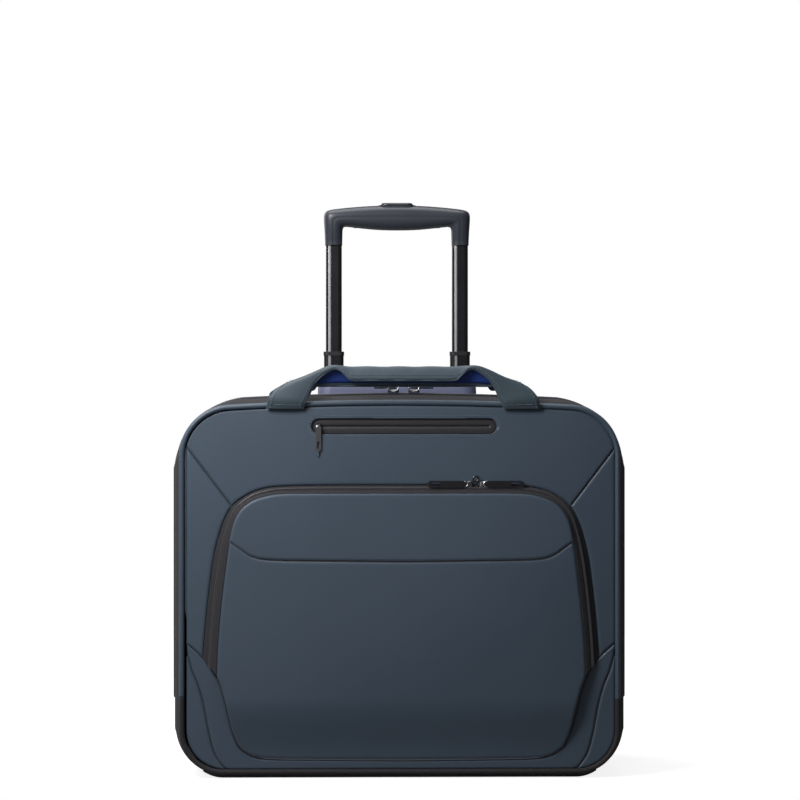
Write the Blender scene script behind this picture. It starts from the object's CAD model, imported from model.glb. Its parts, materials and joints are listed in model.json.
"""Looks of the rolling laptop case: fabric shells, seams, zips, handles, trolley, wheels and materials.

Metres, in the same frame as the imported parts: +Z up, the front faces -Y.
"""

import bpy
import json
import math
import numpy as np
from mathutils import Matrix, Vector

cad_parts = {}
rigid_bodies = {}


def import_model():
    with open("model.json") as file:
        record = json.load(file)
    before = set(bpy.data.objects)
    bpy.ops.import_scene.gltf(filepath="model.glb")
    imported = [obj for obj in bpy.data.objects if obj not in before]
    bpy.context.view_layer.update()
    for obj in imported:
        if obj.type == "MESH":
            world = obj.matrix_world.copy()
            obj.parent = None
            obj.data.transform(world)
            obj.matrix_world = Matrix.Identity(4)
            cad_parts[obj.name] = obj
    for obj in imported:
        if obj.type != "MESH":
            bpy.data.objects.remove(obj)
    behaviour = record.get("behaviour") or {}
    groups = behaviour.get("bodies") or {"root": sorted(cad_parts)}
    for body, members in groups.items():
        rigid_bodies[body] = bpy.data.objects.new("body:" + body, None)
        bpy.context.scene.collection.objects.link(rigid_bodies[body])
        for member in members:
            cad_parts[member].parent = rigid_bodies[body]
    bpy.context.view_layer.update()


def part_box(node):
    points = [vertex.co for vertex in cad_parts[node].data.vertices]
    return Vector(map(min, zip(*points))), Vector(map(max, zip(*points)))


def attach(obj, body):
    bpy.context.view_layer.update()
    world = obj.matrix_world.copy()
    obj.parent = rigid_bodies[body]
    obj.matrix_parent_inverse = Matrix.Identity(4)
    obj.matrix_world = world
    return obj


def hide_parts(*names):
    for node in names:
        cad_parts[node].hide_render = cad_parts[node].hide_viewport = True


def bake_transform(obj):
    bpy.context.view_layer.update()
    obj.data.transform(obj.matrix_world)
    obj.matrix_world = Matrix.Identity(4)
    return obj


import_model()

MM = 0.001

# ---------------------------------------------------------------- camera and light
VIEW_Z = 0.3667
VIEW_DISTANCE = 2.6
VIEW_FIELD = 0.7755
VIEW_ASIDE = -0.05  # the camera stands a little to the left and turns in


def make_camera():
    """Level camera in front of the case: its field is the width seen at the front panel."""
    data = bpy.data.cameras.new("camera")
    data.sensor_width = 36
    data.lens = data.sensor_width * VIEW_DISTANCE / VIEW_FIELD
    camera = bpy.data.objects.new("camera", data)
    bpy.context.collection.objects.link(camera)
    camera.location = (VIEW_ASIDE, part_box("lid_shell")[0][1] - VIEW_DISTANCE, VIEW_Z)
    camera.rotation_euler = (math.radians(90), 0, math.atan2(VIEW_ASIDE, VIEW_DISTANCE))
    bpy.context.scene.camera = camera


def make_light(name, location, size, power, colour=(1, 1, 1)):
    """Square soft light at a place, facing the middle of the case."""
    data = bpy.data.lights.new(name, "AREA")
    data.size = size
    data.energy = power
    data.color = colour
    light = bpy.data.objects.new(name, data)
    bpy.context.collection.objects.link(light)
    light.location = location
    away = light.location.copy()
    away.z -= 0.22
    light.rotation_euler = away.to_track_quat("Z", "Y").to_euler()


make_camera()
make_light("key_left", (-0.5, -0.6, 0.85), 0.36, 9)
make_light("fill_low", (-0.9, -1.9, 0.25), 1.4, 3.2)
make_light("top_soft", (-0.3, 0.15, 2.2), 1.6, 30)
make_light("back_left", (-1.3, 1.5, 1.1), 1.2, 11)

world = bpy.data.worlds.new("studio")
bpy.context.scene.world = world
world.use_nodes = True
surround = world.node_tree.nodes["Background"]
surround.inputs["Color"].default_value = (1, 1, 1, 1)
seen = world.node_tree.nodes.new("ShaderNodeLightPath")
strength = world.node_tree.nodes.new("ShaderNodeMapRange")
strength.inputs["To Min"].default_value = 0.1
strength.inputs["To Max"].default_value = 1.0
world.node_tree.links.new(seen.outputs["Is Camera Ray"], strength.inputs["Value"])
world.node_tree.links.new(strength.outputs["Result"], surround.inputs["Strength"])
bpy.context.scene.view_settings.view_transform = "Standard"


# ---------------------------------------------------------------- materials
def colour(red, green, blue):
    """Linear colour from the usual 0 to 255 screen values."""
    value = np.array([red, green, blue]) / 255
    linear = np.where(value <= 0.04045, value / 12.92, ((value + 0.055) / 1.055) ** 2.4)
    return (*linear.tolist(), 1.0)


class Surface:
    """A material under construction: its node tree, its shader, and short ways to add nodes."""

    def __init__(self, name, base, roughness, metallic=0.0):
        self.material = bpy.data.materials.new(name)
        self.material.use_nodes = True
        self.tree = self.material.node_tree
        self.shader = self.tree.nodes["Principled BSDF"]
        self.shader.inputs["Base Color"].default_value = base
        self.shader.inputs["Roughness"].default_value = roughness
        self.shader.inputs["Metallic"].default_value = metallic
        self.base = base
        self.height = None

    def node(self, kind, **settings):
        """New node with its properties set."""
        made = self.tree.nodes.new(kind)
        for key, value in settings.items():
            setattr(made, key, value)
        return made

    def link(self, source, target):
        """Joins an output to an input."""
        self.tree.links.new(source, target)

    def coordinates(self, kind="Object", scale=(1, 1, 1)):
        """Object or UV coordinates, stretched by a Mapping node."""
        place = self.node("ShaderNodeTexCoord")
        mapping = self.node("ShaderNodeMapping")
        mapping.inputs["Scale"].default_value = scale
        self.link(place.outputs[kind], mapping.inputs["Vector"])
        return mapping.outputs["Vector"]

    def noise(self, scale, detail=2.0, stretch=(1, 1, 1)):
        """Noise of a given scale per metre, as a value from 0 to 1."""
        made = self.node("ShaderNodeTexNoise")
        made.inputs["Scale"].default_value = scale
        made.inputs["Detail"].default_value = detail
        self.link(self.coordinates(scale=stretch), made.inputs["Vector"])
        return made.outputs["Fac"]

    def wave(self, pitch, direction, kind="Object", distortion=0.0):
        """Ribs with a pitch in metres along one direction, as a value from 0 to 1."""
        made = self.node("ShaderNodeTexWave", bands_direction=direction)
        made.inputs["Scale"].default_value = math.pi / 10 / pitch
        made.inputs["Distortion"].default_value = distortion
        self.link(self.coordinates(kind), made.inputs["Vector"])
        return made.outputs["Fac"]

    def mix(self, factor, low, high):
        """Colour between two colours by a factor."""
        made = self.node("ShaderNodeMix", data_type="RGBA")
        self.link(factor, made.inputs["Factor"])
        for socket, value in ((made.inputs["A"], low), (made.inputs["B"], high)):
            if isinstance(value, tuple):
                socket.default_value = value
            else:
                self.link(value, socket)
        return made.outputs["Result"]

    def math(self, operation, first, second):
        """One step of arithmetic on a value."""
        made = self.node("ShaderNodeMath", operation=operation)
        for socket, value in zip(made.inputs, (first, second)):
            if isinstance(value, (int, float)):
                socket.default_value = value
            else:
                self.link(value, socket)
        return made.outputs["Value"]

    def span(self, value, low, high):
        """Value from 0 to 1 spread over a new range."""
        made = self.node("ShaderNodeMapRange")
        self.link(value, made.inputs["Value"])
        made.inputs["To Min"].default_value = low
        made.inputs["To Max"].default_value = high
        return made.outputs["Result"]

    def bump(self, value, distance, strength=1.0):
        """Adds relief of a distance in metres on top of the relief so far."""
        made = self.node("ShaderNodeBump")
        made.inputs["Distance"].default_value = distance
        made.inputs["Strength"].default_value = strength
        self.link(value, made.inputs["Height"])
        if self.height is not None:
            self.link(self.height, made.inputs["Normal"])
        self.height = made.outputs["Normal"]
        self.link(self.height, self.shader.inputs["Normal"])

    def mottle(self, factor, shade, lift):
        """Base colour varied between a darker and a lighter tone of itself."""
        dark = tuple(c * shade for c in self.base[:3]) + (1.0,)
        light = tuple(min(1.0, c * lift) for c in self.base[:3]) + (1.0,)
        mixed = self.mix(factor, dark, light)
        self.link(mixed, self.shader.inputs["Base Color"])
        return mixed


def coated_fabric(name, base, roughness=0.5, thread=0.55 * MM, relief=0.05 * MM):
    """Coated nylon: fine plain weave softened by its coating, slow tonal drift and a satin sheen."""
    made = Surface(name, base, roughness)
    made.shader.inputs["Sheen Weight"].default_value = 0.12
    made.shader.inputs["Sheen Roughness"].default_value = 0.45
    weave = made.math("MULTIPLY", made.wave(thread, "X"), made.wave(thread, "Z"))
    grain = made.noise(1500, 3.0)
    drift = made.noise(14, 3.0)
    made.mottle(drift, 0.93, 1.07)
    made.link(made.span(grain, roughness - 0.06, roughness + 0.08), made.shader.inputs["Roughness"])
    made.bump(weave, relief, 0.5)
    made.bump(grain, relief * 0.9, 0.6)
    made.bump(made.noise(55, 2.0), 0.35 * MM, 0.35)
    return made.material


def woven_tape(name, base, rib=0.5 * MM):
    """Zip tape: close herringbone ribs along the tape and a dry, matt face."""
    made = Surface(name, base, 0.78)
    made.shader.inputs["Sheen Weight"].default_value = 0.05
    ribs = made.math("MULTIPLY", made.wave(rib, "X", "UV"), made.wave(rib * 1.6, "Y", "UV"))
    fuzz = made.noise(2400, 2.0)
    made.mottle(fuzz, 0.8, 1.2)
    made.bump(ribs, 0.12 * MM, 0.8)
    made.bump(fuzz, 0.05 * MM, 0.5)
    return made.material


def lining_cloth(name, base, thread=0.7 * MM):
    """Woven polyester lining with visible threads and a slight silk sheen."""
    made = Surface(name, base, 0.6)
    made.shader.inputs["Sheen Weight"].default_value = 0.06
    weave = made.math("ADD", made.wave(thread, "X"), made.wave(thread, "Z"))
    made.mottle(made.noise(600, 3.0), 0.85, 1.12)
    made.bump(weave, 0.08 * MM, 0.6)
    made.bump(made.noise(70, 2.0), 0.5 * MM, 0.3)
    return made.material


def moulded_plastic(name, base, roughness=0.45, grain=900, relief=0.04 * MM):
    """Moulded plastic with a fine spark-eroded grain and faint handling wear."""
    made = Surface(name, base, roughness)
    texture = made.noise(grain, 2.0)
    made.link(made.span(made.noise(30, 4.0), roughness - 0.07, roughness + 0.1),
              made.shader.inputs["Roughness"])
    made.mottle(made.noise(20, 3.0), 0.94, 1.06)
    made.bump(texture, relief, 0.6)
    return made.material


def brushed_metal(name, base, roughness, stretch=(1, 1, 0.02), metallic=1.0):
    """Metal with drawn lines along the stretched axis and slight smudges."""
    made = Surface(name, base, roughness, metallic)
    lines = made.noise(2200, 2.0, stretch)
    made.link(made.span(made.noise(40, 3.0), roughness - 0.06, roughness + 0.12),
              made.shader.inputs["Roughness"])
    made.mottle(lines, 0.85, 1.12)
    made.bump(lines, 0.012 * MM, 0.5)
    return made


def plain_metal(name, base, roughness):
    """Cast and plated metal with a little orange peel."""
    made = Surface(name, base, roughness, 1.0)
    made.mottle(made.noise(300, 2.0), 0.85, 1.1)
    made.bump(made.noise(900, 2.0), 0.02 * MM, 0.4)
    return made.material


slate = coated_fabric("slate_fabric", colour(60, 74, 89))
slate_piping = coated_fabric("slate_piping", colour(62, 76, 90), 0.42, 0.5 * MM)
slate_strap = coated_fabric("slate_strap", colour(58, 72, 82), 0.5)
hood_fabric = coated_fabric("hood_fabric", colour(92, 96, 122), 0.5)
guard_fabric = coated_fabric("guard_fabric", colour(34, 36, 40), 0.6, 1.2 * MM, 0.15 * MM)
tape_brown = woven_tape("zip_tape_dark", colour(33, 33, 38))
tape_edge = woven_tape("binding_brown", colour(34, 30, 33), 0.7 * MM)
coated_tape = coated_fabric("coated_zip_tape", colour(44, 42, 46), 0.42, 0.4 * MM)
coil_plastic = moulded_plastic("zip_coil", colour(66, 64, 68), 0.34, 1500)
blue_lining = lining_cloth("blue_lining", colour(0, 42, 116))
grey_lining = lining_cloth("grey_lining", colour(92, 98, 108))
thread_slate = lining_cloth("thread_slate", colour(58, 66, 78), 0.3 * MM)
thread_light = lining_cloth("thread_light", colour(96, 108, 120), 0.3 * MM)
tube_metal = brushed_metal("black_anodised", colour(60, 57, 59), 0.3, metallic=0.35)
along = tube_metal.node("ShaderNodeSeparateXYZ")
tube_metal.link(tube_metal.coordinates(), along.inputs["Vector"])
# The tubes stand 130 mm apart, so the remainder of X gives both the same light line.
across = tube_metal.math("MODULO", tube_metal.math("ADD", along.outputs["X"], 0.0735), 0.13)
flute = tube_metal.math("COMPARE", across, 0.0042)
flute.node.inputs[2].default_value = 0.0014
tube_metal.link(tube_metal.mix(flute, colour(34, 32, 35), colour(170, 168, 173)),
                tube_metal.shader.inputs["Base Color"])
black_tube = tube_metal.material
steel = brushed_metal("steel", colour(165, 168, 172), 0.3).material
rod_metal = brushed_metal("rod_metal", colour(150, 152, 155), 0.35).material
gunmetal = plain_metal("gunmetal", colour(84, 82, 88), 0.3)
pewter = plain_metal("pewter", colour(140, 138, 142), 0.26)
bright_metal = plain_metal("bright_nickel", colour(190, 192, 196), 0.22)
grip_plastic = moulded_plastic("grip_plastic", colour(54, 57, 66), 0.36)
button_plastic = moulded_plastic("button_plastic", colour(36, 38, 46), 0.32)
black_plastic = moulded_plastic("black_plastic", colour(28, 28, 31), 0.5, 700, 0.08 * MM)
hub_plastic = moulded_plastic("hub_plastic", colour(46, 48, 53), 0.4)
tyre_rubber = moulded_plastic("tyre_rubber", colour(24, 24, 26), 0.7, 500, 0.1 * MM)


# ---------------------------------------------------------------- mesh making
def new_piece(name, points, faces, material, body=None, uv=None, smooth=True):
    """Mesh object from an array of points and an array of equal faces, riding on a body."""
    mesh = bpy.data.meshes.new(name)
    faces = np.asarray(faces)
    sides = faces.shape[1]
    mesh.vertices.add(len(points))
    mesh.vertices.foreach_set("co", np.asarray(points, dtype=np.float32).ravel())
    mesh.loops.add(faces.size)
    mesh.loops.foreach_set("vertex_index", faces.ravel().astype(np.int32))
    mesh.polygons.add(len(faces))
    mesh.polygons.foreach_set("loop_start", np.arange(0, faces.size, sides, dtype=np.int32))
    mesh.polygons.foreach_set("use_smooth", np.full(len(faces), smooth))
    if uv is not None:
        layer = mesh.uv_layers.new(name="surface")
        layer.data.foreach_set("uv", np.asarray(uv)[faces.ravel()].astype(np.float32).ravel())
    mesh.update()
    mesh.validate()
    mesh.materials.append(material)
    piece = bpy.data.objects.new(name, mesh)
    bpy.context.collection.objects.link(piece)
    if body:
        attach(piece, body)
    return piece


def grid_faces(rows, columns, wrap_rows=False, wrap_columns=False):
    """Quads of a grid of points; a wrapped side joins its last line to its first."""
    index = np.arange(rows * columns).reshape(rows, columns)
    if wrap_rows:
        index = np.vstack([index, index[:1]])
    if wrap_columns:
        index = np.hstack([index, index[:, :1]])
    quads = np.stack([index[:-1, :-1], index[:-1, 1:], index[1:, 1:], index[1:, :-1]], axis=-1)
    return quads.reshape(-1, 4)


def quad_normals(points, faces):
    """Area-weighted normals of quads: half the cross product of their diagonals."""
    a, b, c, d = (points[faces[:, k]] for k in range(4))
    return 0.5 * np.cross(c - a, d - b), 0.25 * (a + b + c + d)


def facing(points, faces, toward):
    """Quads turned so that they face a direction, or outwards from their middle where it is None."""
    normals, centres = quad_normals(points, faces)
    middle = points.mean(axis=0)
    along = centres - middle if toward is None else np.asarray(toward, dtype=float)
    return faces if (normals * along).sum() >= 0 else faces[:, ::-1]


def arc_length(points):
    """Distance along a run of points, from 0 at the first."""
    steps = np.linalg.norm(np.diff(points, axis=0), axis=1)
    return np.concatenate([[0], np.cumsum(steps)])


def grid_piece(name, grid, material, body, wrap_rows=False, wrap_columns=False, toward=None):
    """Piece from a grid of points (rows, columns, 3), with UVs in metres along rows and columns."""
    rows, columns = grid.shape[:2]
    along = arc_length(grid[:, columns // 2])
    across = arc_length(grid[rows // 2])
    uv = np.stack(np.meshgrid(across, along), axis=-1).reshape(-1, 2)
    points = grid.reshape(-1, 3)
    faces = facing(points, grid_faces(rows, columns, wrap_rows, wrap_columns), toward)
    return new_piece(name, points, faces, material, body, uv)


def thicken(piece, thickness, offset=-1.0):
    """Gives an open sheet a wall, towards its back for offset -1."""
    solid = piece.modifiers.new("wall", "SOLIDIFY")
    solid.thickness = thickness
    solid.offset = offset
    return piece


def smooth_curve(points, count):
    """Curve through a few points: Catmull-Rom between neighbours, evenly resampled by length."""
    points = np.asarray(points, dtype=float)
    ends = (2 * points[0] - points[1], 2 * points[-1] - points[-2])
    padded = np.vstack([ends[0], points, ends[1]])
    share = np.linspace(0, len(points) - 1, 40 * len(points))
    cell = np.minimum(share.astype(int), len(points) - 2)
    t = (share - cell)[:, None]
    p0, p1, p2, p3 = (padded[cell + k] for k in range(4))
    curve = 0.5 * (2 * p1 + (p2 - p0) * t + (2 * p0 - 5 * p1 + 4 * p2 - p3) * t**2
                   + (3 * p1 - p0 - 3 * p2 + p3) * t**3)
    return resample(curve, count)


def resample(points, count):
    """Same run of points at even distances, or at given shares of its length."""
    points = np.asarray(points, dtype=float)
    length = arc_length(points)
    shares = np.linspace(0, 1, count) if np.isscalar(count) else np.asarray(count)
    return np.stack([np.interp(shares * length[-1], length, points[:, k])
                     for k in range(points.shape[1])], axis=1)


def join(*runs):
    """Runs of points end to end, without repeating the shared ends."""
    return np.vstack([runs[0]] + [run[1:] for run in runs[1:]])


# ---------------------------------------------------------------- outline of the case
half_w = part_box("rear_shell")[1][0]
base_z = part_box("rear_shell")[0][2]
top_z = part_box("rear_shell")[1][2]
mouth_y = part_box("rear_shell")[0][1]
back_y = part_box("rear_shell")[1][1]
panel_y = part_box("lid_shell")[0][1]
lid_back_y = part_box("lid_shell")[1][1]
front_half_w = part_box("front_piping")[1][0] - 0.5 * MM
front_top_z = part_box("front_piping")[1][2] - 0.5 * MM
zip_end_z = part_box("main_zip_rear")[0][2]
tape_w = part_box("main_zip_rear")[1][1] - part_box("main_zip_rear")[0][1]
CROWN = 7.6 * MM
R_LOW, WIDE_R, FRONT_R = 42 * MM, 68 * MM, 50 * MM
SIDE_COUNT, CORNER_COUNT, TOP_COUNT, END_COUNT = 70, 26, 110, 12


def arc(centre, radius, start, end, count):
    """Points and outward normals of a circular arc, angles in radians from +X."""
    angle = np.linspace(start, end, count)
    normal = np.stack([np.cos(angle), np.sin(angle)], axis=1)
    return np.asarray(centre) + radius * normal, normal


def straight(start, end, normal, count):
    """Points and normals of a straight stretch."""
    share = np.linspace(0, 1, count)[:, None]
    points = np.asarray(start) * (1 - share) + np.asarray(end) * share
    return points, np.tile(np.asarray(normal, dtype=float), (count, 1))


def case_outline(half, low, high, r_high):
    """Outline in XZ from the right zip end, over the crowned top, round to where it began.

    Sides are straight, the top is a wide circular arc that falls by CROWN at the sides, and the four
    corners are arcs tangent to their neighbours. Returns points, normals and the count up to the left
    zip end.
    """
    crown_r = (half**2 + CROWN**2) / (2 * CROWN)
    crown_z = high - crown_r
    reach = math.sqrt((crown_r - r_high) ** 2 - (half - r_high) ** 2)
    lean = math.atan2(reach, half - r_high)
    shoulder = crown_z + reach
    foot = low + R_LOW
    stretches = [
        straight((half, zip_end_z), (half, shoulder), (1, 0), SIDE_COUNT),
        arc((half - r_high, shoulder), r_high, 0, lean, CORNER_COUNT),
        arc((0, crown_z), crown_r, lean, math.pi - lean, TOP_COUNT),
        arc((-half + r_high, shoulder), r_high, math.pi - lean, math.pi, CORNER_COUNT),
        straight((-half, shoulder), (-half, zip_end_z), (-1, 0), SIDE_COUNT),
        straight((-half, zip_end_z), (-half, foot), (-1, 0), END_COUNT),
        arc((-half + R_LOW, foot), R_LOW, math.pi, 1.5 * math.pi, CORNER_COUNT),
        straight((-half + R_LOW, low), (half - R_LOW, low), (0, -1), TOP_COUNT),
        arc((half - R_LOW, foot), R_LOW, 1.5 * math.pi, 2 * math.pi, CORNER_COUNT),
        straight((half, foot), (half, zip_end_z), (1, 0), END_COUNT),
    ]
    points = join(*[s[0] for s in stretches])
    normals = join(*[s[1] for s in stretches])
    return points, normals, sum(len(s[0]) - 1 for s in stretches[:5])


wide_line, wide_normal, ZIP_RUN = case_outline(half_w, base_z, top_z, WIDE_R)
pull = 2.6 * MM * np.sqrt(np.abs(2 * wide_normal[:, 0] * wide_normal[:, 1]))
wide_line -= wide_normal * pull[:, None]  # the fabric tightens round the four corners
front_line, front_normal, _ = case_outline(front_half_w, base_z, front_top_z, FRONT_R)


def ring(profile, start=0, end=None):
    """Surface round the case: each profile step is (share of the front outline, out along the normal, y).

    A share of 0 is the wide outline at the main zip and 1 the smaller one at the front panel.
    """
    share, out, y = (np.asarray(column, dtype=float)[None, :, None] for column in zip(*profile))
    line = (1 - share) * wide_line[:, None] + share * front_line[:, None]
    flat = line + out * wide_normal[:, None]
    grid = np.concatenate([flat[..., :1], np.broadcast_to(y, flat[..., :1].shape), flat[..., 1:]], axis=-1)
    return grid[start:end]


def round_profile(share, out, y, radius, count=12):
    """Closed round section for a piping or bead, centred on the outline moved out by out."""
    turn = np.linspace(0, 2 * math.pi, count, endpoint=False)
    return [(share, out + radius * math.cos(a), y + radius * math.sin(a)) for a in turn]


# ---------------------------------------------------------------- seams of the front
# Right half of each seam in millimetres, (x, z), from the middle of the case outwards or downwards.
OFF_CENTRE = 1.3 * MM  # the whole front was sewn a little to the right
ARCH_OUTER = [(0, 284), (60, 284), (114, 283.2), (138, 279.6), (152, 273), (163.5, 264), (171.5, 250),
              (177.8, 230.5), (182, 211), (187, 172), (190.6, 133.5), (191.8, 116.5)]
ARCH_INNER = [(0, 276.3), (60, 276.3), (114, 276), (134, 272.8), (146, 268), (155.5, 260), (162, 248),
              (166, 230.5), (168.8, 211), (173.6, 172), (177, 133.5), (178.5, 100.3)]
YOKE = [(0, 210.6), (84, 211.6), (128, 212.6), (145, 216), (156, 223), (166, 230.5)]
WAVE_SIDE = [(207.8, 131), (199, 123.5), (191.8, 116.5)]
WAVE_STRIP = [(191.8, 116.5), (184, 108), (178.5, 100.3)]
WAVE_POCKET = [(178.5, 100.3), (173.5, 86.5), (168.3, 66), (163.5, 46), (156.8, 31), (147, 23)]
WAVE_BOTTOM = [(147, 23), (134, 19.8), (99, 18.6), (0, 17.8)]
SUB_SEAM = [(206.6, 119), (202.3, 104), (196, 88.5), (191, 70), (186.3, 45), (180.5, 24), (171, 10)]
DIAGONAL = [(164, 263.4), (208, 321)]



def half_seam(points, count=160):
    """Right half of a seam as a smooth curve in metres."""
    return smooth_curve(np.array(points) * MM, count) + (OFF_CENTRE, 0)


def left_of(points):
    """The same seam on the left half."""
    return (np.asarray(points) - (OFF_CENTRE, 0)) * (-1, 1) + (OFF_CENTRE, 0)


def cut_at(line, point):
    """A line split at its point nearest to a place."""
    index = np.argmin(np.linalg.norm(line - point, axis=1))
    return line[: index + 1], line[index:]


arch_outer = half_seam(ARCH_OUTER, 400)
arch_inner = half_seam(ARCH_INNER, 400)
yoke_seam = half_seam(YOKE)
wave_side, wave_strip = half_seam(WAVE_SIDE), half_seam(WAVE_STRIP)
wave_pocket, wave_bottom = half_seam(WAVE_POCKET), half_seam(WAVE_BOTTOM)
sub_seam = half_seam(SUB_SEAM)
diagonal = half_seam(DIAGONAL, 60)
panel_line = np.roll(front_line - 4.3 * MM * front_normal, END_COUNT + CORNER_COUNT + TOP_COUNT // 2, axis=0)


def piped(start, end, around_top=True):
    """Stretch of the front's piped edge between the points nearest to two places, right to left."""
    first = np.argmin(np.linalg.norm(panel_line - start, axis=1))
    last = np.argmin(np.linalg.norm(panel_line - end, axis=1))
    if first <= last:
        return panel_line[first: last + 1]
    return panel_line[last: first + 1][::-1]


EDGE = np.array([0, 0.3, 0.7, 1.2, 1.8, 2.6, 3.8]) * MM
ROLL_R = 2.8 * MM
ROLL_DEPTH = 2.3 * MM
PANEL_T = 1.6 * MM


def crowded(length, count):
    """Shares from 0 to 1 along a side of a given length, crowding at both ends for the rolled seams."""
    edge = EDGE * min(1, length / (3.5 * EDGE[-1]))
    inner = np.linspace(edge[-1], length - edge[-1], count + 2)[1:-1]
    return np.concatenate([edge, inner, length - edge[::-1]]) / length


def lid_depth(x, z):
    """Depth of the front panel: a shallow pillow, fullest in the middle, falling to its piping."""
    across = 1 - np.clip(np.abs(x) / front_half_w, 0, 1) ** 5
    middle = (front_top_z + base_z) / 2
    up = 1 - np.clip(np.abs(z - middle) / (middle - base_z), 0, 1) ** 5
    ripple = 0.45 * MM * np.sin(x * 31 + 1.3) * np.sin(z * 27 + 0.4)
    return panel_y - (1.4 * MM + 2.8 * MM * across * up) + ripple * across * up


def pocket_depth(x, z):
    """Depth of the pocket: proud along its zip, tapered to the wave seam, with a full belly."""
    low = 17.8 * MM
    rise = np.clip((z - low) / (60 * MM), 0, 1)
    rise = rise * rise * (3 - 2 * rise)
    height = np.clip((z - low) / (262 * MM), 0, 1)
    belly = (1 - np.clip(np.abs(x) / (186 * MM), 0, 1) ** 4) * np.sin(height**0.8 * math.pi)
    slump = 0.6 * MM * np.sin(x * 19 + 0.7) * np.sin(z * 23 + 1.1)
    return panel_y - (3.2 * MM + 7.6 * MM * rise + 4.4 * MM * belly) + slump * rise


def back_depth(x, z):
    """Depth of the back: nearly flat, with two soft ribs over the trolley tubes."""
    rib = np.exp(-(((np.abs(x) - 65 * MM) / (13 * MM)) ** 4))
    up = 1 - np.clip(np.abs(z - 188 * MM) / (184 * MM), 0, 1) ** 6
    across = 1 - np.clip(np.abs(x) / half_w, 0, 1) ** 6
    return back_y + (0.4 + (1.6 + 1.4 * rib) * up * across) * MM


def border_distance(flat, border):
    """Distance of each point to the nearest stretch of a closed border, both in XZ."""
    border = resample(border, 700)
    start, step = border[:-1], np.diff(border, axis=0)
    size = np.maximum((step**2).sum(axis=1), 1e-14)
    nearest = []
    for part in np.array_split(flat, max(1, len(flat) // 3000)):
        away = part[:, None] - start[None]
        share = np.clip((away * step).sum(axis=-1) / size, 0, 1)
        nearest.append(np.linalg.norm(away - share[..., None] * step, axis=-1).min(axis=1))
    return np.concatenate(nearest)


def coons(low, high, left, right, u, v):
    """Patch between four border lines in XZ: the two ruled surfaces added, less the corner blend."""
    low, high = resample(low, u)[None], resample(high, u)[None]
    left, right = resample(left, v)[:, None], resample(right, v)[:, None]
    u, v = u[None, :, None], v[:, None, None]
    corners = ((1 - u) * (1 - v) * low[:, :1] + u * (1 - v) * low[:, -1:]
               + (1 - u) * v * high[:, :1] + u * v * high[:, -1:])
    return (1 - v) * low + v * high + (1 - u) * left + u * right - corners


def sewn_panel(name, low, high, left, right, size, depth, body, material, lift=0.0, roll=ROLL_DEPTH,
               toward=(0, -1, 0)):
    """Sewn panel: a Coons patch between its four seams, pillowed by a depth of (x, z).

    Rows and columns crowd towards the seams, and every border rolls in over ROLL_R like a turned edge:
    the depth falls by roll * (1 - sqrt(1 - (1 - d / ROLL_R)^2)) for a distance d to the border.
    """
    length = 0.5 * (arc_length(low)[-1] + arc_length(high)[-1])
    height = max(np.linalg.norm(resample(low, 9) - resample(high, 9), axis=1).max(), 12 * MM)
    flat = coons(low, high, left, right, crowded(length, size[0]), crowded(height, size[1]))
    border = np.vstack([low, right, high[::-1], left[::-1], low[:1]])
    x, z = flat[..., 0], flat[..., 1]
    distance = border_distance(flat.reshape(-1, 2), border).reshape(x.shape)
    turn = np.clip(1 - distance / ROLL_R, 0, 1)
    front = -np.sign(toward[1])
    y = depth(x, z) - front * lift + front * roll * (1 - np.sqrt(1 - turn**2))
    piece = grid_piece(name, np.stack([x, y, z], axis=-1), material, body, toward=toward)
    return thicken(piece, PANEL_T)


def on_surface(line, depth, lift=0.0):
    """A line in XZ laid on a surface of a given depth, raised towards the front by lift."""
    return np.stack([line[:, 0], depth(line[:, 0], line[:, 1]) - lift, line[:, 1]], axis=1)


def frame_along(path, up):
    """Unit directions along, across and out of a path, where up is the rough outward direction."""
    along = np.gradient(path, axis=0)
    along /= np.linalg.norm(along, axis=1)[:, None] + 1e-12
    up = np.broadcast_to(np.asarray(up, dtype=float), path.shape)
    across = np.cross(along, up)
    across /= np.linalg.norm(across, axis=1)[:, None] + 1e-12
    return along, across, np.cross(across, along)


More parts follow.
